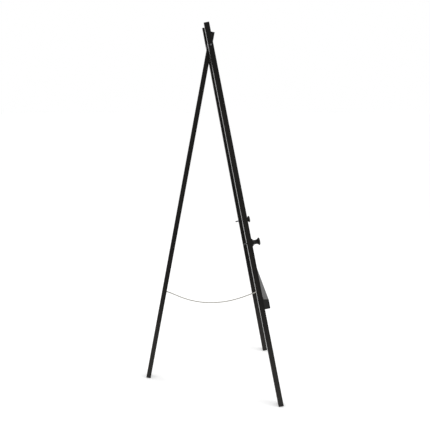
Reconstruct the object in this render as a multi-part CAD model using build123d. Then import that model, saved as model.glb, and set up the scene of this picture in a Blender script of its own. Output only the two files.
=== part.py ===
"""Folding A-frame easel: a flat front frame of two legs and a ledge, with one folding rear leg."""

from build123d import *
import os
from math import cos, radians, sin, tan

# Driving dimensions in millimetres and degrees
FRONT_LEAN = 11.0  # the front frame leans back from the vertical
REAR_LEAN = 10.8  # the rear leg leans forward from the vertical
FRONT_LENGTH = 1683.0  # along the front frame, foot to top
REAR_LENGTH = 1652.0
FOOT_SPACING = 667.0  # between the front legs' centre lines
TOP_SPACING = 305.0
FOOTPRINT = 600.6  # front feet to rear foot, centre to centre
LEG_WIDTH = 44.0
FRONT_THICK = 23.0
REAR_THICK = 21.5
EDGE = 1.0  # rounding of the timber's long edges

PAD_THICK = 4.0  # rubber foot pads
PAD_EDGE = 1.0
PAD_SCREW_RADIUS = 1.75
PAD_SCREW_HEAD = 3.5
PAD_SCREW_LENGTH = 20.0
PAD_RECESS = 1.2  # the screw's head sits this far inside the pad

PEG_HEIGHT = 729.0  # along the leg
HOLE_STEPS = (1, 2)  # spare peg holes, in steps up from the peg's own hole
HOLE_PITCH = 100.0
PEG_PIN_RADIUS = 3.0
PIN_CLEARANCE = 0.05
PIN_REACH = 15.0  # the pin stands out behind the leg
PIN_IN_KNOB = 22.0
PEG_FLANGE_RADIUS = 17.0  # the head is as wide
PEG_NECK_RADIUS = 9.5
PEG_FLANGE_THICK = 3.0
PEG_NECK_AT = 0.47  # of the peg's length, as is the head's widest place
PEG_HEAD_AT = 0.80
PEG_LENGTH = 36.5
PEG_GAP = 0.3  # between the knob and the leg

LEDGE_BOTTOM = 436.5  # along the front frame
LEDGE_DEPTH = 24.0
LEDGE_TOP_Z = 478.7
LEDGE_LENGTH = 610.0
LEDGE_EDGE = 2.5
LEDGE_SCREW_HEIGHTS = (451.0, 471.0)
LEDGE_SCREW_RADIUS = 2.25
LEDGE_SCREW_HEAD = 4.25
LEDGE_SCREW_LENGTH = 38.0

ROD_RADIUS = 3.0
BUSH_RADIUS = 5.0
SPACER_RADIUS = 6.0
SPACER_CLEARANCE = 0.1
SPOT_RADIUS = 7.0  # spot faces sunk into the leaning sides of the front legs
SPOT_DEPTH = 1.0
NUT_RADIUS = 4.5
NUT_HEIGHT = 4.0
NUT_WALL = 1.6  # metal over the rod's end
WASHER_RADIUS = 8.0
WASHER_THICK = 1.5
SIDE_CLEARANCE = 0.4  # between a washer and the rear leg

CORD_RADIUS = 2.5
KNOT_RADIUS = 5.5
KNOT_LENGTH = 9.0
KNOT_EDGE = 3.0
ARC_SHARE = 0.45  # of the shorter run beside each of the cord's turns
CORD_HOLE_RADIUS = 3.25
CORD_HOLE_HEIGHT = 434.8  # along the rear leg
KNOT_POCKET_RADIUS = 7.0
KNOT_POCKET_DEPTH = 10.0
EYE_RING_RADIUS = 5.0
EYE_WIRE_RADIUS = 1.25
EYE_HEIGHT = 429.0  # ring centre, along the front frame
EYE_BACK = 18.5  # ring centre, in front of the frame's middle plane
EYE_SHANK_IN = 14.0  # length of shank inside the ledge

# The cord hangs in the plane x = 0. Its route is (y from the front foot, z).
CORD_ROUTE = [
    (60.7, 428.0),
    (80.0, 420.8),
    (106.0, 410.2),
    (143.0, 396.2),
    (188.0, 382.2),
    (238.0, 372.4),
    (292.0, 368.8),
    (346.0, 372.2),
    (396.0, 382.6),
    (438.0, 397.2),
    (474.0, 413.4),
]
HOLE_LEAD = 8.0  # the cord lines up with its hole this far before the mouth

# Frames of reference
FRONT_FOOT_Y = -(FOOTPRINT + REAR_THICK / 2 * cos(radians(REAR_LEAN))
                 - FRONT_THICK / 2 * cos(radians(FRONT_LEAN))) / 2
FRONT_SIN = sin(radians(FRONT_LEAN))
FRONT_COS = cos(radians(FRONT_LEAN))
REAR_SIN = sin(radians(REAR_LEAN))
REAR_COS = cos(radians(REAR_LEAN))
# In both planes x is across, y runs up the leg, and z points out of the leg's front face.
FRONT_PLANE = Plane(
    origin=(0, FRONT_FOOT_Y, FRONT_THICK / 2 * FRONT_SIN),
    x_dir=(1, 0, 0),
    z_dir=(0, -FRONT_COS, FRONT_SIN),
)
REAR_PLANE = Plane(
    origin=(0, FRONT_FOOT_Y + FOOTPRINT, REAR_THICK / 2 * REAR_SIN),
    x_dir=(1, 0, 0),
    z_dir=(0, -REAR_COS, -REAR_SIN),
)
FRONT_FACE = FRONT_THICK / 2
REAR_FACE = REAR_THICK / 2

# The hinge is where the two legs' middle planes cross
HINGE_Z = (
    FOOTPRINT
    + REAR_THICK / 2 * REAR_SIN * tan(radians(REAR_LEAN))
    + FRONT_FACE * FRONT_SIN * tan(radians(FRONT_LEAN))
) / (tan(radians(REAR_LEAN)) + tan(radians(FRONT_LEAN)))
HINGE_Y = FRONT_FOOT_Y + (HINGE_Z - FRONT_FACE * FRONT_SIN) * tan(radians(FRONT_LEAN))
HINGE_ON_FRONT = (HINGE_Z - FRONT_FACE * FRONT_SIN) / FRONT_COS
HINGE_ON_REAR = (HINGE_Z - REAR_FACE * REAR_SIN) / REAR_COS

SIDES = {"left": -1, "right": 1}


def leg_centre(height):
    """Distance from the middle to a front leg's centre line, at a height along the frame."""
    return (FOOT_SPACING + (TOP_SPACING - FOOT_SPACING) * height / FRONT_LENGTH) / 2


def along_x(part):
    """Turn a part made about Z so that it lies along X."""
    return Rot(0, 90, 0) * part


def rounded(part, radius, shortest):
    """Round every edge of a part that is longer than a given length."""
    return fillet([e for e in part.edges() if e.length > shortest], radius)


def front_stick(side, bottom, top):
    """A length of front leg timber, cut level across at both ends."""
    half = LEG_WIDTH / 2
    low = side * leg_centre(bottom)
    high = side * leg_centre(top)
    outline = Polyline(
        (low - half, bottom), (low + half, bottom), (high + half, top), (high - half, top), close=True
    )
    return extrude(make_face(outline), FRONT_FACE, both=True)


def screw(length, radius, head_radius):
    """A countersunk wood screw: its head's flat top at z = 0, its tip towards -z."""
    head_height = head_radius - radius
    profile = Polyline(
        (0, 0),
        (head_radius, 0),
        (radius, -head_height),
        (radius, -length + 2 * radius),
        (0, -length),
        close=True,
    )
    return revolve(Plane.XZ * make_face(profile), Axis.Z)


def pad_screw(centre_x):
    """A foot pad's screw, pointing up the leg, in leg coordinates."""
    body = screw(PAD_SCREW_LENGTH, PAD_SCREW_RADIUS, PAD_SCREW_HEAD)
    return Pos(centre_x, PAD_RECESS, 0) * Rot(90, 0, 0) * body


def pad_screw_hole(centre_x):
    """The space that a pad's screw and its driver need."""
    return pad_screw(centre_x) + Pos(centre_x, PAD_RECESS / 2, 0) * Rot(90, 0, 0) * Cylinder(
        PAD_SCREW_HEAD, PAD_RECESS
    )


def ledge_screws(side):
    """The two screws through one leg into the ledge, heads flush with the leg's back face."""
    return [
        Pos(side * leg_centre(height), height, -FRONT_FACE)
        * Rot(180, 0, 0)
        * screw(LEDGE_SCREW_LENGTH, LEDGE_SCREW_RADIUS, LEDGE_SCREW_HEAD)
        for height in LEDGE_SCREW_HEIGHTS
    ]


def leg_face_x(outward):
    """Distance from the middle to the spot face on a front leg's outer or inner side."""
    return leg_centre(HINGE_ON_FRONT) + outward * (LEG_WIDTH / 2 - SPOT_DEPTH)


OUTER_SPOT = leg_face_x(1)
INNER_SPOT = leg_face_x(-1)


def front_leg(side):
    """A front leg with its peg holes, rod hole, spot faces and screw holes."""
    leg = rounded(front_stick(side, PAD_THICK, FRONT_LENGTH), EDGE, FRONT_THICK * 2)
    for step in (0, *HOLE_STEPS):
        height = PEG_HEIGHT + step * HOLE_PITCH
        hole = Cylinder(PEG_PIN_RADIUS + PIN_CLEARANCE, FRONT_THICK * 2)
        leg -= Pos(side * leg_centre(height), height, 0) * hole
    centre = Pos(side * leg_centre(HINGE_ON_FRONT), HINGE_ON_FRONT, 0)
    leg -= centre * along_x(Cylinder(ROD_RADIUS, LEG_WIDTH * 2))
    for face_x, out in ((OUTER_SPOT, 1), (INNER_SPOT, -1)):
        spot = along_x(Cylinder(SPOT_RADIUS, SPOT_DEPTH * 4))
        leg -= Pos(side * (face_x + out * SPOT_DEPTH * 2), HINGE_ON_FRONT, 0) * spot
    for part in ledge_screws(side):
        leg -= part
    leg -= pad_screw_hole(side * leg_centre(0))
    return leg


def front_foot_pad(side):
    """The rubber pad under a front leg."""
    pad = rounded(front_stick(side, 0, PAD_THICK), PAD_EDGE, FRONT_THICK * 0.9)
    return pad - pad_screw_hole(side * leg_centre(0))


def ledge():
    """The bar across both front legs, with its top cut level and a hole for the eye's shank."""
    front = FRONT_FACE + LEDGE_DEPTH
    base = LEDGE_TOP_Z - FRONT_FACE * FRONT_SIN
    outline = Polyline(
        (LEDGE_BOTTOM, FRONT_FACE),
        (LEDGE_BOTTOM, front),
        ((base - front * FRONT_SIN) / FRONT_COS, front),
        ((base - FRONT_FACE * FRONT_SIN) / FRONT_COS, FRONT_FACE),
        close=True,
    )
    bar = extrude(Plane.YZ * make_face(outline), LEDGE_LENGTH / 2, both=True)
    bar = rounded(bar, LEDGE_EDGE, LEDGE_LENGTH * 0.9)
    for side in SIDES.values():
        for part in ledge_screws(side):
            bar -= part
    return bar - eye_shank()


def eye_shank():
    """The screw eye's straight shank, from the ring up into the ledge."""
    bottom = EYE_HEIGHT + EYE_RING_RADIUS
    top = LEDGE_BOTTOM + EYE_SHANK_IN
    return Pos(0, (bottom + top) / 2, EYE_BACK) * Rot(90, 0, 0) * Cylinder(EYE_WIRE_RADIUS, top - bottom)


def cord_eye():
    """The screw eye under the ledge, its ring facing front and back."""
    ring = Pos(0, EYE_HEIGHT, EYE_BACK) * Torus(EYE_RING_RADIUS, EYE_WIRE_RADIUS)
    return ring + eye_shank()


def rear_leg():
    """The folding leg, with the bush's hole, the cord's hole and a pocket for its knot."""
    blank = Pos(0, (PAD_THICK + REAR_LENGTH) / 2, 0) * Box(
        LEG_WIDTH, REAR_LENGTH - PAD_THICK, REAR_THICK
    )
    leg = rounded(blank, EDGE, LEG_WIDTH * 2)
    leg -= Pos(0, HINGE_ON_REAR, 0) * along_x(Cylinder(BUSH_RADIUS, LEG_WIDTH * 2))
    leg -= Pos(0, CORD_HOLE_HEIGHT, 0) * Cylinder(CORD_HOLE_RADIUS, REAR_THICK * 2)
    pocket = Cylinder(KNOT_POCKET_RADIUS, KNOT_POCKET_DEPTH * 2)
    leg -= Pos(0, CORD_HOLE_HEIGHT, -REAR_FACE) * pocket
    return leg - pad_screw_hole(0)


def rear_foot_pad():
    """The rubber pad under the rear leg."""
    blank = Pos(0, PAD_THICK / 2, 0) * Box(LEG_WIDTH, PAD_THICK, REAR_THICK)
    return rounded(blank, PAD_EDGE, REAR_THICK * 0.9) - pad_screw_hole(0)


def tube(outer, inner, start, end):
    """A round tube about the hinge's axis, from one x to another."""
    ring = Cylinder(outer, end - start) - Cylinder(inner, end - start)
    return Pos((start + end) / 2, HINGE_Y, HINGE_Z) * along_x(ring)


def cap_nut(side):
    """A domed nut on the rod's end, seated on the leg's outer spot face."""
    dome = Cylinder(NUT_RADIUS, NUT_HEIGHT, align=(Align.CENTER, Align.CENTER, Align.MIN))
    dome = fillet(dome.edges().sort_by(Axis.Z)[-1], NUT_HEIGHT / 2)
    depth = NUT_HEIGHT - NUT_WALL
    dome -= Cylinder(ROD_RADIUS, depth, align=(Align.CENTER, Align.CENTER, Align.MIN))
    return Pos(side * OUTER_SPOT, HINGE_Y, HINGE_Z) * Rot(0, 90 * side, 0) * dome


def peg_place(side):
    """Where a peg's axis meets the leg's front face."""
    return Pos(side * leg_centre(PEG_HEIGHT), PEG_HEIGHT, FRONT_FACE)


def peg_pin(side):
    """The steel pin, from inside the knob to behind the leg, with a rounded end."""
    length = PIN_REACH + FRONT_THICK + PIN_IN_KNOB
    pin = Cylinder(PEG_PIN_RADIUS, length, align=(Align.CENTER, Align.CENTER, Align.MIN))
    pin = fillet(pin.edges().sort_by(Axis.Z)[0], PEG_PIN_RADIUS / 2)
    return peg_place(side) * Pos(0, 0, -FRONT_THICK - PIN_REACH) * pin


def peg_knob(side):
    """The turned spool: a flange on the leg, a narrow neck and a flared, domed head."""
    neck_z = PEG_LENGTH * PEG_NECK_AT
    head_z = PEG_LENGTH * PEG_HEAD_AT
    flange_z = PEG_GAP + PEG_FLANGE_THICK
    profile = [
        Line((0, PEG_GAP), (PEG_FLANGE_RADIUS, PEG_GAP)),
        Line((PEG_FLANGE_RADIUS, PEG_GAP), (PEG_FLANGE_RADIUS, flange_z)),
        Spline(
            (PEG_FLANGE_RADIUS, flange_z),
            (PEG_NECK_RADIUS, neck_z),
            (PEG_FLANGE_RADIUS, head_z),
            tangents=((-1, 0.45), (1, 0.55)),
        ),
        Spline(
            (PEG_FLANGE_RADIUS, head_z),
            (0, PEG_LENGTH),
            tangents=((0, 1), (-1, 0)),
        ),
        Line((0, PEG_LENGTH), (0, PEG_GAP)),
    ]
    knob = revolve(Plane.XZ * make_face(Curve() + profile), Axis.Z)
    return peg_place(side) * knob - peg_pin(side)


def knot():
    """A cord's knot: a short rounded barrel, its flat face at z = 0."""
    barrel = Cylinder(KNOT_RADIUS, KNOT_LENGTH, align=(Align.CENTER, Align.CENTER, Align.MIN))
    return fillet(barrel.edges().sort_by(Axis.Z)[-1], KNOT_EDGE)


def cord_points():
    """The cord's route in world coordinates, ending in line with the rear leg's hole."""
    points = [Vector(0, FRONT_FOOT_Y + y, z) for y, z in CORD_ROUTE]
    mouth = REAR_PLANE.from_local_coords(Vector(0, CORD_HOLE_HEIGHT, REAR_FACE))
    into = Vector(0, REAR_COS, REAR_SIN)
    depth = REAR_THICK - KNOT_POCKET_DEPTH
    return points + [mouth - into * HOLE_LEAD, mouth + into * depth]


def cord(points):
    """The cord's tube: straight runs joined by tangent arcs."""
    radii = []
    for before, corner, after in zip(points, points[1:], points[2:]):
        turn = radians((corner - before).get_angle(after - corner))
        shorter = min((corner - before).length, (after - corner).length)
        radii.append(ARC_SHARE * shorter / tan(turn / 2))
    print("cord radii", [round(radius, 1) for radius in radii])
    path = FilletPolyline(*points, radius=radii)
    start = Plane(origin=path @ 0, z_dir=path % 0)
    solid = sweep(start * Circle(CORD_RADIUS), path=path)
    print("cord length", round(path.length, 1), "volume ratio",
          round(solid.volume / (path.length * Circle(CORD_RADIUS).area), 4))
    return solid


def save(name, parts):
    """Write one node, made of one or more separate solids."""
    solids = [solid for part in parts for solid in part.solids()]
    export_step(solids[0] if len(solids) == 1 else Compound(children=solids), f"parts/{name}.step")


os.makedirs("parts", exist_ok=True)

for name, side in SIDES.items():
    save(f"front_leg_{name}", [FRONT_PLANE.location * front_leg(side)])
    save(f"front_foot_pad_{name}", [FRONT_PLANE.location * front_foot_pad(side)])
    save(f"peg_{name}_knob", [FRONT_PLANE.location * peg_knob(side)])
    save(f"peg_{name}_pin", [FRONT_PLANE.location * peg_pin(side)])

save("front_pad_screws", [
    FRONT_PLANE.location * pad_screw(side * leg_centre(0)) for side in SIDES.values()
])
save("ledge", [FRONT_PLANE.location * ledge()])
save("ledge_screws", [
    FRONT_PLANE.location * part for side in SIDES.values() for part in ledge_screws(side)
])
save("cord_eye", [FRONT_PLANE.location * cord_eye()])

save("rear_leg", [REAR_PLANE.location * rear_leg()])
save("rear_foot_pad", [REAR_PLANE.location * rear_foot_pad()])
save("rear_pad_screw", [REAR_PLANE.location * pad_screw(0)])

half_leg = LEG_WIDTH / 2
washer_start = half_leg + SIDE_CLEARANCE
washer_end = washer_start + WASHER_THICK
rod_end = OUTER_SPOT + NUT_HEIGHT - NUT_WALL
rod = Pos(0, HINGE_Y, HINGE_Z) * along_x(Cylinder(ROD_RADIUS, rod_end * 2))
spacer_bore = ROD_RADIUS + SPACER_CLEARANCE
save("hinge_rod", [rod])
save("rear_bush", [tube(BUSH_RADIUS, ROD_RADIUS + PIN_CLEARANCE, -half_leg, half_leg)])
save("hinge_spacer_left", [tube(SPACER_RADIUS, spacer_bore, -INNER_SPOT, -washer_end)])
save("hinge_spacer_right", [tube(SPACER_RADIUS, spacer_bore, washer_end, INNER_SPOT)])
save("hinge_washers", [
    tube(WASHER_RADIUS, spacer_bore, -washer_end, -washer_start),
    tube(WASHER_RADIUS, spacer_bore, washer_start, washer_end),
])
save("hinge_cap_nuts", [cap_nut(side) for side in SIDES.values()])

route = cord_points()
save("cord", [cord(route)])
front_knot = Plane(origin=route[0], z_dir=route[0] - route[1])
rear_knot = Plane(origin=route[-1], z_dir=route[-1] - route[-2])
save("cord_knot_front", [front_knot.location * knot()])
save("cord_knot_rear", [rear_knot.location * knot()])

print("hinge at", round(HINGE_Y, 2), round(HINGE_Z, 2))
print("route", [(round(p.Y, 1), round(p.Z, 1)) for p in route])
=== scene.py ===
"""Folding timber display easel: finishes, cord, knots, screws, light and camera around the frame."""

import bmesh
import bpy
import math
import numpy as np
from mathutils import Euler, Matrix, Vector


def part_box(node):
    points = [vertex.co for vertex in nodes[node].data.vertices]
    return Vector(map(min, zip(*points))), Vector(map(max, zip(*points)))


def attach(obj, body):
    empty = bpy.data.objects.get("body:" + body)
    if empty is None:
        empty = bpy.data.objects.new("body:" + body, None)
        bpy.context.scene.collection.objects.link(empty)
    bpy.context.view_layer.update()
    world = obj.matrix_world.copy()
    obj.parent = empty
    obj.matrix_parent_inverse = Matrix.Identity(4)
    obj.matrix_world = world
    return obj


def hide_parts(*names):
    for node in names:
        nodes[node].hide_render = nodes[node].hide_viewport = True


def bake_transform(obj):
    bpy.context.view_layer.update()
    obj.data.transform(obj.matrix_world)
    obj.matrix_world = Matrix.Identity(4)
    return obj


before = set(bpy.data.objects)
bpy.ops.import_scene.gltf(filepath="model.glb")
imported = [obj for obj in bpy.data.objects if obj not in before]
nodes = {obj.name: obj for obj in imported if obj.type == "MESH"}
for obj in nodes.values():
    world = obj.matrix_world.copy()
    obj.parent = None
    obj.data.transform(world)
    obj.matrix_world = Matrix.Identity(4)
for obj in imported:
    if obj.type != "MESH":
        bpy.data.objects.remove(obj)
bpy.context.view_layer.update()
scene = bpy.context.scene

# Camera, in metres, degrees and millimetres of lens: high up, nearly square to the easel's side
CAMERA_PLACE = (-3.267, 0.104, 1.408)
CAMERA_PITCH = 10.61  # below the horizon
CAMERA_YAW = -2.20  # from the X axis
CAMERA_LENS = 59.63
SENSOR_WIDTH = 36.0

# Cord, in metres
CORD_RADIUS = 0.0025
CORD_STEP = 0.0007
CORD_SIDES = 32
CORD_ORDER = 3  # of its spline, so that it keeps close to the route's points
BRAID_STRANDS = 8
BRAID_PITCH = 0.0072
BRAID_DEPTH = 0.09  # of the cord's radius
# Its route hangs in the plane x = 0: (y, z)
CORD_ROUTE = [
    (-0.2392, 0.4280),
    (-0.2199, 0.4208),
    (-0.1939, 0.4102),
    (-0.1569, 0.3962),
    (-0.1119, 0.3822),
    (-0.0619, 0.3724),
    (-0.0079, 0.3688),
    (0.0461, 0.3722),
    (0.0961, 0.3826),
    (0.1381, 0.3972),
    (0.1741, 0.4134),
    (0.2008, 0.4256),
    (0.2199, 0.4293),
]

# Knots, in metres
KNOT_STRAND = 0.0018  # radius of the strand
KNOT_SCALE = 0.00125
KNOT_LENGTH = 1.7  # along the cord, in units of the scale, each way
KNOT_POINTS = 24
KNOT_SIDES = 16
KNOT_ORDER = 4

# Screws, in metres where nothing else is said
SCREW_SIDES = 48
HEAD_RINGS = 14
SHANK_BAND = (0.2, 0.9)  # of the head's radius: the shank's radius is looked for between these
CROSS_REACH = 0.62  # of the head's radius
CROSS_HALF = 0.17  # of the head's radius
CROSS_DEPTH = 0.0013
SMOOTH_SHARE = 0.3  # of the screw's length, under the head
THREAD_PITCH = 0.0016
THREAD_DEPTH = 0.00035
THREAD_ROOT_AT = 0.3  # of the pitch
THREAD_CREST_AFTER = 0.35  # of the pitch, beyond the root
SCREW_SHARP_ANGLE = 35  # degrees

SPLINE_STEPS = 32  # between two of a spline's points
MERGE_GAP = 1e-6  # points of a CAD mesh nearer than this are one
OFF_CENTRE = 0.01  # a leg whose middle is further than this from x = 0 is splayed
NOISE_MIDDLE = (0.25, 0.75)  # where most of a noise's values are

FRONT_LEAN = 11  # degrees, as in the CAD model

# Stage, in metres and watts
FLOOR_HALF = 30.0
FLOOR_WHITE = 0.93
FLOOR_GLOW = 0.30  # only as seen, so that the floor is white in the picture
WORLD_SEEN = 1.0
WORLD_LIGHT = 0.75
LIGHT_AIM = (0, 0, 0.8)
LIGHT_SIZE = 2.4
KEY_PLACE = (-1.6, -2.6, 3.2)
KEY_POWER = 34
FILL_PLACE = (1.8, 2.4, 3.0)
FILL_POWER = 20


# ---------------------------------------------------------------- camera

def make_camera():
    """The camera, turned to look along +X and a little down."""
    data = bpy.data.cameras.new("camera")
    data.lens = CAMERA_LENS
    data.sensor_width = SENSOR_WIDTH
    camera = bpy.data.objects.new("camera", data)
    scene.collection.objects.link(camera)
    camera.location = CAMERA_PLACE
    pitch = math.radians(90 - CAMERA_PITCH)
    yaw = math.radians(CAMERA_YAW - 90)
    camera.rotation_euler = Euler((pitch, 0, yaw), "XYZ")
    scene.camera = camera


# ---------------------------------------------------------------- node helpers

def socket(sockets, identifier):
    """The socket with an identifier, for nodes whose sockets share a name."""
    return next(found for found in sockets if found.identifier == identifier)


class Nodes:
    """A short way to build one material's nodes."""

    def __init__(self, name):
        self.material = bpy.data.materials.new(name)
        self.material.use_nodes = True
        self.tree = self.material.node_tree
        self.shader = self.tree.nodes["Principled BSDF"]

    def add(self, kind, **properties):
        """Add a node and set its properties."""
        node = self.tree.nodes.new(kind)
        for key, value in properties.items():
            setattr(node, key, value)
        return node

    def link(self, source, target):
        """Join an output to an input."""
        self.tree.links.new(source, target)

    def set(self, name, value):
        """Set one of the shader's inputs."""
        self.shader.inputs[name].default_value = value

    def place(self, rotation=(0, 0, 0), scale=(1, 1, 1)):
        """Object coordinates, turned and then scaled."""
        coordinates = self.add("ShaderNodeTexCoord")
        turn = self.add("ShaderNodeMapping", vector_type="TEXTURE")
        turn.inputs["Rotation"].default_value = rotation
        stretch = self.add("ShaderNodeMapping")
        stretch.inputs["Scale"].default_value = scale
        self.link(coordinates.outputs["Object"], turn.inputs["Vector"])
        self.link(turn.outputs["Vector"], stretch.inputs["Vector"])
        return stretch.outputs["Vector"]

    def noise(self, vector, scale, detail, roughness=0.55):
        """A noise texture's value, with its scale per metre."""
        node = self.add("ShaderNodeTexNoise")
        node.inputs["Scale"].default_value = scale
        node.inputs["Detail"].default_value = detail
        node.inputs["Roughness"].default_value = roughness
        self.link(vector, node.inputs["Vector"])
        return node.outputs["Fac"]

    def ramp(self, value, stops):
        """A colour ramp through (place, colour) stops."""
        node = self.add("ShaderNodeValToRGB")
        ends = node.color_ramp.elements
        while len(ends) < len(stops):
            ends.new(0.5)
        for end, (place, colour) in zip(ends, stops):
            end.position = place
            end.color = (*colour, 1)
        self.link(value, node.inputs["Fac"])
        return node.outputs["Color"]

    def spread(self, value, low, high):
        """Map the middle half of a noise value's range to low and high."""
        node = self.add("ShaderNodeMapRange")
        node.inputs["From Min"].default_value, node.inputs["From Max"].default_value = NOISE_MIDDLE
        node.inputs["To Min"].default_value = low
        node.inputs["To Max"].default_value = high
        self.link(value, node.inputs["Value"])
        return node.outputs["Result"]

    def weigh(self, first, second, share):
        """The weighted sum of two values, with the first's share given."""
        total = self.add("ShaderNodeMath", operation="MULTIPLY_ADD")
        total.inputs[1].default_value = share
        self.link(first, total.inputs[0])
        rest = self.add("ShaderNodeMath", operation="MULTIPLY")
        rest.inputs[1].default_value = 1 - share
        self.link(second, rest.inputs[0])
        self.link(rest.outputs["Value"], total.inputs[2])
        return total.outputs["Value"]

    def bump(self, value, distance, strength, under=None):
        """A bump from a value, in metres, over another bump if one is given."""
        node = self.add("ShaderNodeBump")
        node.inputs["Distance"].default_value = distance
        node.inputs["Strength"].default_value = strength
        self.link(value, node.inputs["Height"])
        if under is not None:
            self.link(under, node.inputs["Normal"])
        return node.outputs["Normal"]

    def finish(self, colour, roughness, normal):
        """Join colour, roughness and normal to the shader."""
        self.link(colour, self.shader.inputs["Base Color"])
        self.link(roughness, self.shader.inputs["Roughness"])
        self.link(normal, self.shader.inputs["Normal"])
        return self.material


# ---------------------------------------------------------------- materials

GRAIN_STRETCH = (1.0, 1.0, 0.035)
PAINTED_LIGHT_TOP = 0.55  # metres above the floor, where the painted light towards the floor begins
# Painted light: the colour that the legs and the ledge are lightened towards near the floor
PAINTED_LIGHT_COLOUR = (0.032, 0.030, 0.028)
BLACK_STOPS = [
    (0.32, (0.0026, 0.0024, 0.0022)),
    (0.50, (0.0062, 0.0056, 0.0050)),
    (0.70, (0.0175, 0.0155, 0.0132)),
]
RUBBER_STOPS = [
    (0.35, (0.010, 0.010, 0.010)),
    (0.72, (0.032, 0.030, 0.028)),
]
COTTON_STOPS = [
    (0.30, (0.40, 0.38, 0.33)),
    (0.55, (0.50, 0.485, 0.44)),
    (0.75, (0.57, 0.56, 0.52)),
]


def with_painted_floor_light(n, colour, painted_light_noise):
    """A colour lightened towards the floor in uneven patches: painted light."""
    coordinates = n.add("ShaderNodeTexCoord")
    parts = n.add("ShaderNodeSeparateXYZ")
    n.link(coordinates.outputs["Object"], parts.inputs["Vector"])
    fall = n.add("ShaderNodeMapRange", interpolation_type="SMOOTHSTEP")
    fall.inputs["From Min"].default_value = PAINTED_LIGHT_TOP
    fall.inputs["From Max"].default_value = 0.0
    n.link(parts.outputs["Z"], fall.inputs["Value"])
    patchy = n.add("ShaderNodeMath", operation="MULTIPLY")
    n.link(fall.outputs["Result"], patchy.inputs[0])
    n.link(n.spread(painted_light_noise, low=0.65, high=1.0), patchy.inputs[1])
    mix = n.add("ShaderNodeMix", data_type="RGBA")
    n.link(patchy.outputs["Value"], socket(mix.inputs, "Factor_Float"))
    n.link(colour, socket(mix.inputs, "A_Color"))
    socket(mix.inputs, "B_Color").default_value = (*PAINTED_LIGHT_COLOUR, 1)
    return socket(mix.outputs, "Result_Color")


def timber(name, rotation, specular):
    """Black stained and lacquered timber, its grain along z after the rotation."""
    n = Nodes(name)
    along = n.place(rotation, GRAIN_STRETCH)
    grain = n.noise(along, scale=260.0, detail=6.0, roughness=0.6)
    figure = n.noise(along, scale=45.0, detail=3.0, roughness=0.5)
    pores = n.noise(along, scale=900.0, detail=2.0, roughness=0.5)
    unevenness = n.noise(n.place(), scale=9.0, detail=3.0, roughness=0.6)
    black = n.ramp(n.weigh(grain, figure, share=0.6), BLACK_STOPS)
    # Painted light: the timber is lightened towards the floor, in patches
    colour = with_painted_floor_light(n, black, unevenness)
    roughness = n.spread(unevenness, low=0.14, high=0.24)
    normal = n.bump(grain, distance=0.00018, strength=0.6)
    normal = n.bump(pores, distance=0.00010, strength=0.6, under=normal)
    n.set("Specular IOR Level", specular)
    return n.finish(colour, roughness, normal)


def turned_wood(name, axis_turn):
    """The pegs' black wood: faint rings left by turning and a soft sheen."""
    n = Nodes(name)
    along = n.place(axis_turn, scale=(1.0, 1.0, 0.08))
    across = n.place(axis_turn, scale=(0.02, 0.02, 1.0))
    grain = n.noise(along, scale=320.0, detail=5.0)
    rings = n.noise(across, scale=1500.0, detail=2.0)
    unevenness = n.noise(n.place(axis_turn), scale=60.0, detail=3.0)
    colour = n.ramp(grain, BLACK_STOPS)
    roughness = n.spread(unevenness, low=0.30, high=0.46)
    normal = n.bump(grain, distance=0.00008, strength=0.4)
    normal = n.bump(rings, distance=0.00005, strength=0.5, under=normal)
    n.set("Specular IOR Level", 0.2)
    return n.finish(colour, roughness, normal)


def steel(name, greys, roughnesses):
    """Steel with fine scratches and slightly uneven colour, between two greys."""
    n = Nodes(name)
    dark, light = greys
    scratches = n.noise(n.place(scale=(0.15, 1.0, 1.0)), scale=2200.0, detail=3.0)
    patches = n.noise(n.place(), scale=140.0, detail=4.0)
    colour = n.ramp(patches, [(0.3, (dark,) * 3), (0.7, (light,) * 3)])
    roughness = n.spread(scratches, *roughnesses)
    normal = n.bump(scratches, distance=0.00002, strength=0.4)
    n.set("Metallic", 1.0)
    return n.finish(colour, roughness, normal)


def rubber(name):
    """Matt black rubber with a fine moulded grain and floor dust."""
    n = Nodes(name)
    plain = n.place()
    dust = n.noise(plain, scale=160.0, detail=5.0)
    grain = n.noise(plain, scale=2500.0, detail=2.0)
    colour = n.ramp(dust, RUBBER_STOPS)
    roughness = n.spread(grain, low=0.62, high=0.85)
    normal = n.bump(grain, distance=0.00008, strength=0.6)
    n.set("Specular IOR Level", 0.3)
    return n.finish(colour, roughness, normal)


def cotton(name):
    """Cream braided cotton: fine fibres and a little soiling."""
    n = Nodes(name)
    plain = n.place()
    soil = n.noise(plain, scale=220.0, detail=4.0)
    fibres = n.noise(plain, scale=5200.0, detail=3.0)
    colour = n.ramp(soil, COTTON_STOPS)
    roughness = n.spread(fibres, low=0.80, high=0.98)
    normal = n.bump(fibres, distance=0.00012, strength=0.7)
    n.set("Sheen Weight", 0.25)
    n.set("Specular IOR Level", 0.15)
    return n.finish(colour, roughness, normal)


def paint(material, *names):
    """Give CAD nodes a material."""
    for name in names:
        mesh = nodes[name].data
        mesh.materials.clear()
        mesh.materials.append(material)


def grain_turn(node):
    """The rotation that lays z along a leg, from the two ends of its box."""
    low, high = (Vector(corner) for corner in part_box(node))
    middle = (low.x + high.x) / 2
    rise = high - low
    across = -math.copysign(rise.x, middle) if abs(middle) > OFF_CENTRE else 0.0
    back = rise.y if node != "rear_leg" else -rise.y
    direction = Vector((across, back, rise.z)).normalized()
    return tuple(direction.to_track_quat("Z", "Y").to_euler())


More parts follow.
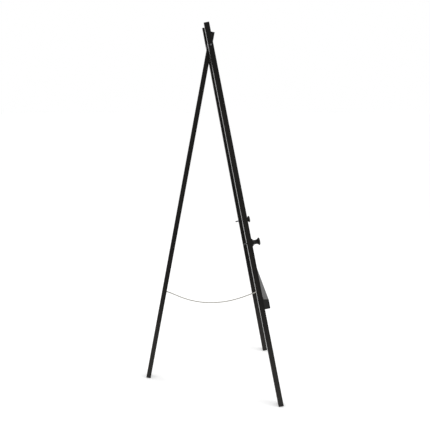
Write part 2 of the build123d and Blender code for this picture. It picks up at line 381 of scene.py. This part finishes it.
def paint_frame():
    """Every CAD node's finish."""
    for node in ("front_leg_left", "front_leg_right", "rear_leg"):
        paint(timber("black_timber_" + node, grain_turn(node), specular=0.10), node)
    along_ledge = (0, math.pi / 2, 0)
    paint(timber("black_timber_ledge", along_ledge, specular=0.20), "ledge")
    peg_turn = (math.radians(90 - FRONT_LEAN), 0, 0)
    for side in ("left", "right"):
        paint(turned_wood("black_knob_" + side, peg_turn), f"peg_{side}_knob")
    pin = steel("pin_steel", greys=(0.05, 0.09), roughnesses=(0.30, 0.45))
    paint(pin, "peg_left_pin", "peg_right_pin")
    hinge = steel("hinge_steel", greys=(0.10, 0.16), roughnesses=(0.32, 0.50))
    paint(hinge, "hinge_rod", "hinge_spacer_left", "hinge_spacer_right", "hinge_washers")
    paint(hinge, "rear_bush", "cord_eye")
    nut = steel("nut_steel", greys=(0.07, 0.11), roughnesses=(0.35, 0.50))
    paint(nut, "hinge_cap_nuts")
    paint(rubber("pad_rubber"), "front_foot_pad_left", "front_foot_pad_right", "rear_foot_pad")


# ---------------------------------------------------------------- cord

def new_piece(name, points, faces, material):
    """A smooth-shaded mesh object."""
    mesh = bpy.data.meshes.new(name)
    mesh.from_pydata([tuple(p) for p in points], [], faces)
    mesh.shade_smooth()
    mesh.materials.append(material)
    piece = bpy.data.objects.new(name, mesh)
    scene.collection.objects.link(piece)
    return piece


def read_spline(points, order, cyclic=False):
    """Closely spaced points along a smooth NURBS spline."""
    curve = bpy.data.curves.new("route", "CURVE")
    curve.dimensions = "3D"
    spline = curve.splines.new("NURBS")
    spline.points.add(len(points) - 1)
    for control, point in zip(spline.points, points):
        control.co = (*point, 1.0)
    spline.order_u = order
    spline.use_endpoint_u = not cyclic
    spline.use_cyclic_u = cyclic
    spline.resolution_u = SPLINE_STEPS
    carrier = bpy.data.objects.new("route", curve)
    scene.collection.objects.link(carrier)
    bpy.context.view_layer.update()
    mesh = bpy.data.meshes.new_from_object(carrier)
    line = np.array([vertex.co[:] for vertex in mesh.vertices])
    bpy.data.objects.remove(carrier)
    bpy.data.curves.remove(curve)
    bpy.data.meshes.remove(mesh)
    return line


def evenly(line, step):
    """The same line with points a fixed distance apart, and its length."""
    runs = np.linalg.norm(np.diff(line, axis=0), axis=1)
    walked = np.concatenate([[0], np.cumsum(runs)])
    count = int(round(walked[-1] / step)) + 1
    places = np.linspace(0, walked[-1], count)
    return np.column_stack([np.interp(places, walked, line[:, k]) for k in range(3)]), walked[-1]


def skin(name, line, sides, radius_at, material, closed=False):
    """A tube along a line. radius_at(angle, distance) gives its radius."""
    if closed:
        tangents = np.roll(line, -1, axis=0) - np.roll(line, 1, axis=0)
    else:
        tangents = np.gradient(line, axis=0)
    tangents /= np.linalg.norm(tangents, axis=1)[:, None]
    side = np.array([1.0, 0.0, 0.0])
    walked = 0.0
    points = []
    for k, (point, tangent) in enumerate(zip(line, tangents)):
        if k:
            walked += np.linalg.norm(point - line[k - 1])
        side = side - tangent * side.dot(tangent)
        side /= np.linalg.norm(side)
        up = np.cross(tangent, side)
        for j in range(sides):
            angle = 2 * math.pi * j / sides
            out = math.cos(angle) * side + math.sin(angle) * up
            points.append(point + out * radius_at(angle, walked))
    rings = len(line)
    faces = []
    for k in range(rings if closed else rings - 1):
        low, high = k * sides, (k + 1) % rings * sides
        for j in range(sides):
            following = (j + 1) % sides
            faces.append((low + j, low + following, high + following, high + j))
    if not closed:
        faces.append(tuple(reversed(range(sides))))
        faces.append(tuple(range((rings - 1) * sides, rings * sides)))
    return new_piece(name, points, faces, material)


def braid(angle, distance):
    """The radius of a braided sheath: two sets of strands crossing each other."""
    travel = 2 * math.pi * distance / BRAID_PITCH
    half = BRAID_STRANDS / 2
    weave = math.sin(half * angle + travel) * math.sin(half * angle - travel)
    return CORD_RADIUS * (1 - BRAID_DEPTH / 2 + BRAID_DEPTH / 2 * weave)


def knot(name, node, direction, material):
    """An overhand knot drawn up to a trefoil, in the place of a CAD knot."""
    low, high = (np.array(corner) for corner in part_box(node))
    centre = (low + high) / 2
    along = np.array(direction) / np.linalg.norm(direction)
    across = np.array([1.0, 0.0, 0.0])
    up = np.cross(along, across)
    turns = np.linspace(0, 2 * math.pi, KNOT_POINTS, endpoint=False)
    loop = [
        centre
        + KNOT_SCALE * ((math.sin(t) + 2 * math.sin(2 * t)) * across
                        + (math.cos(t) - 2 * math.cos(2 * t)) * up
                        - KNOT_LENGTH * math.sin(3 * t) * along)
        for t in turns
    ]
    line = read_spline(loop, KNOT_ORDER, cyclic=True)
    piece = skin(name, line, KNOT_SIDES, lambda angle, distance: KNOT_STRAND, material, closed=True)
    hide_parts(node)
    return piece


def make_cord():
    """The check cord, its two knots, and what they ride on."""
    material = cotton("cream_cotton")
    route = [(0.0, y, z) for y, z in CORD_ROUTE]
    line, length = evenly(read_spline(route, CORD_ORDER), CORD_STEP)
    cord = skin("check_cord", line, CORD_SIDES, braid, material)
    front = knot("check_cord_knot_front", "cord_knot_front", line[0] - line[1], material)
    rear = knot("check_cord_knot_rear", "cord_knot_rear", line[-1] - line[-2], material)
    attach(front, "front_frame")
    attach(rear, "rear_leg")
    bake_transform(cord)
    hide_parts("cord")


# ---------------------------------------------------------------- screws

def separate_solids(node):
    """The points of each separate solid in a CAD node, in the order of the node's mesh."""
    work = bmesh.new()
    work.from_mesh(nodes[node].data)
    bmesh.ops.remove_doubles(work, verts=work.verts, dist=MERGE_GAP)
    reached = set()
    groups = []
    for start in work.verts:
        if start in reached:
            continue
        reached.add(start)
        front = [start]
        group = []
        while front:
            vertex = front.pop()
            group.append(tuple(vertex.co))
            for edge in vertex.link_edges:
                other = edge.other_vert(vertex)
                if other not in reached:
                    reached.add(other)
                    front.append(other)
        groups.append(np.array(group))
    work.free()
    return groups


def in_cross(x, y, head):
    """Whether a point of a screw's head, from its centre, is in the driver's recess."""
    reach = CROSS_REACH * head
    half = CROSS_HALF * head
    return (abs(x) < half and abs(y) < reach) or (abs(y) < half and abs(x) < reach)


def measure_screw(points):
    """A CAD screw's head centre, axis towards the head, head and shank radius, and length."""
    centre = points.mean(axis=0)
    along = np.linalg.svd(points - centre)[2][0]
    places = (points - centre) @ along
    spans = np.linalg.norm(points - centre - np.outer(places, along), axis=1)
    if places[spans.argmax()] < 0:
        along = -along
        places = -places
    top = centre + along * places.max()
    head = spans.max()
    least, most = (share * head for share in SHANK_BAND)
    shank = np.median(spans[(spans > least) & (spans < most)])
    return top, along, head, shank, places.max() - places.min()


def screw_rows(head, shank, length):
    """The (radius, depth) of each ring of a screw, from the head's centre to near its tip."""
    rows = [(head * k / HEAD_RINGS, 0.0) for k in range(1, HEAD_RINGS + 1)]
    smooth_end = head - shank + SMOOTH_SHARE * length
    rows += [(shank, head - shank), (shank, smooth_end)]
    turns = int((length - 2 * shank - smooth_end) / THREAD_PITCH)
    for k in range(turns):
        depth = smooth_end + (k + THREAD_ROOT_AT) * THREAD_PITCH
        rows.append((shank - THREAD_DEPTH, depth))
        rows.append((shank, depth + THREAD_CREST_AFTER * THREAD_PITCH))
    rows.append((shank / 2, length - shank))
    return rows


def screw_faces(row_count):
    """The faces that join a screw's head centre, its rings of points and its tip."""
    last = 1 + row_count * SCREW_SIDES
    base = last - SCREW_SIDES
    faces = []
    for j in range(SCREW_SIDES):
        following = (j + 1) % SCREW_SIDES
        faces.append((0, 1 + j, 1 + following))
        for k in range(row_count - 1):
            low, high = 1 + k * SCREW_SIDES, 1 + (k + 1) * SCREW_SIDES
            faces.append((low + j, high + j, high + following, low + following))
        faces.append((base + j, last, base + following))
    return faces


def cross_head_screw(name, points, material):
    """A cross-recessed, threaded countersunk screw in the place of one CAD screw."""
    top, along, head, shank, length = measure_screw(points)
    side = np.cross(along, (1.0, 0.0, 0.0))
    side /= np.linalg.norm(side)
    up = np.cross(along, side)
    rows = screw_rows(head, shank, length)
    mesh_points = [top - along * CROSS_DEPTH]
    for radius, depth in rows:
        for j in range(SCREW_SIDES):
            angle = 2 * math.pi * j / SCREW_SIDES
            x, y = radius * math.cos(angle), radius * math.sin(angle)
            sunk = CROSS_DEPTH if depth == 0 and in_cross(x, y, head) else depth
            mesh_points.append(top + side * x + up * y - along * sunk)
    mesh_points.append(top - along * length)
    piece = new_piece(name, mesh_points, screw_faces(len(rows)), material)
    piece.data.set_sharp_from_angle(angle=math.radians(SCREW_SHARP_ANGLE))
    return piece


def make_screws():
    """Every wood screw, as a detailed piece."""
    material = steel("screw_zinc", greys=(0.30, 0.42), roughnesses=(0.28, 0.42))
    for node, body in (("ledge_screws", "front_frame"), ("front_pad_screws", "front_frame"),
                       ("rear_pad_screw", "rear_leg")):
        for count, points in enumerate(separate_solids(node)):
            piece = cross_head_screw(f"{node}_{count + 1}", points, material)
            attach(piece, body)
            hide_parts(node)


# ---------------------------------------------------------------- stage

def seen_value(tree, seen, unseen):
    """A value that is one number to camera, glossy and transmission rays, and another to the rest."""
    path = tree.nodes.new("ShaderNodeLightPath")
    first = tree.nodes.new("ShaderNodeMath")
    first.operation = "MAXIMUM"
    second = tree.nodes.new("ShaderNodeMath")
    second.operation = "MAXIMUM"
    tree.links.new(path.outputs["Is Camera Ray"], first.inputs[0])
    tree.links.new(path.outputs["Is Glossy Ray"], first.inputs[1])
    tree.links.new(first.outputs["Value"], second.inputs[0])
    tree.links.new(path.outputs["Is Transmission Ray"], second.inputs[1])
    scale = tree.nodes.new("ShaderNodeMapRange")
    scale.inputs["To Min"].default_value = unseen
    scale.inputs["To Max"].default_value = seen
    tree.links.new(second.outputs["Value"], scale.inputs["Value"])
    return scale.outputs["Result"]


def make_world():
    """An even white studio."""
    world = bpy.data.worlds.new("studio")
    scene.world = world
    world.use_nodes = True
    tree = world.node_tree
    background = tree.nodes["Background"]
    background.inputs["Color"].default_value = (1, 1, 1, 1)
    tree.links.new(seen_value(tree, WORLD_SEEN, WORLD_LIGHT), background.inputs["Strength"])


def make_floor():
    """A wide white floor that keeps a soft shadow."""
    corners = [(-1, -1), (1, -1), (1, 1), (-1, 1)]
    mesh = bpy.data.meshes.new("floor")
    mesh.from_pydata([(x * FLOOR_HALF, y * FLOOR_HALF, 0) for x, y in corners], [], [(0, 1, 2, 3)])
    floor = bpy.data.objects.new("floor", mesh)
    scene.collection.objects.link(floor)
    n = Nodes("floor_white")
    n.set("Base Color", (FLOOR_WHITE, FLOOR_WHITE, FLOOR_WHITE, 1))
    n.set("Roughness", 0.9)
    n.set("Specular IOR Level", 0.1)
    n.set("Emission Color", (1, 1, 1, 1))
    n.link(seen_value(n.tree, FLOOR_GLOW, 0.0), n.shader.inputs["Emission Strength"])
    mesh.materials.append(n.material)


def area_light(name, place, power):
    """A square softbox, turned to the middle of the easel."""
    data = bpy.data.lights.new(name, "AREA")
    data.size = LIGHT_SIZE
    data.energy = power
    light = bpy.data.objects.new(name, data)
    scene.collection.objects.link(light)
    light.location = place
    light.rotation_euler = (Vector(LIGHT_AIM) - Vector(place)).to_track_quat("-Z", "Y").to_euler()


make_camera()
make_cord()
make_screws()
paint_frame()
make_world()
make_floor()
area_light("key", KEY_PLACE, KEY_POWER)
area_light("fill", FILL_PLACE, FILL_POWER)

scene.view_settings.view_transform = "Standard"
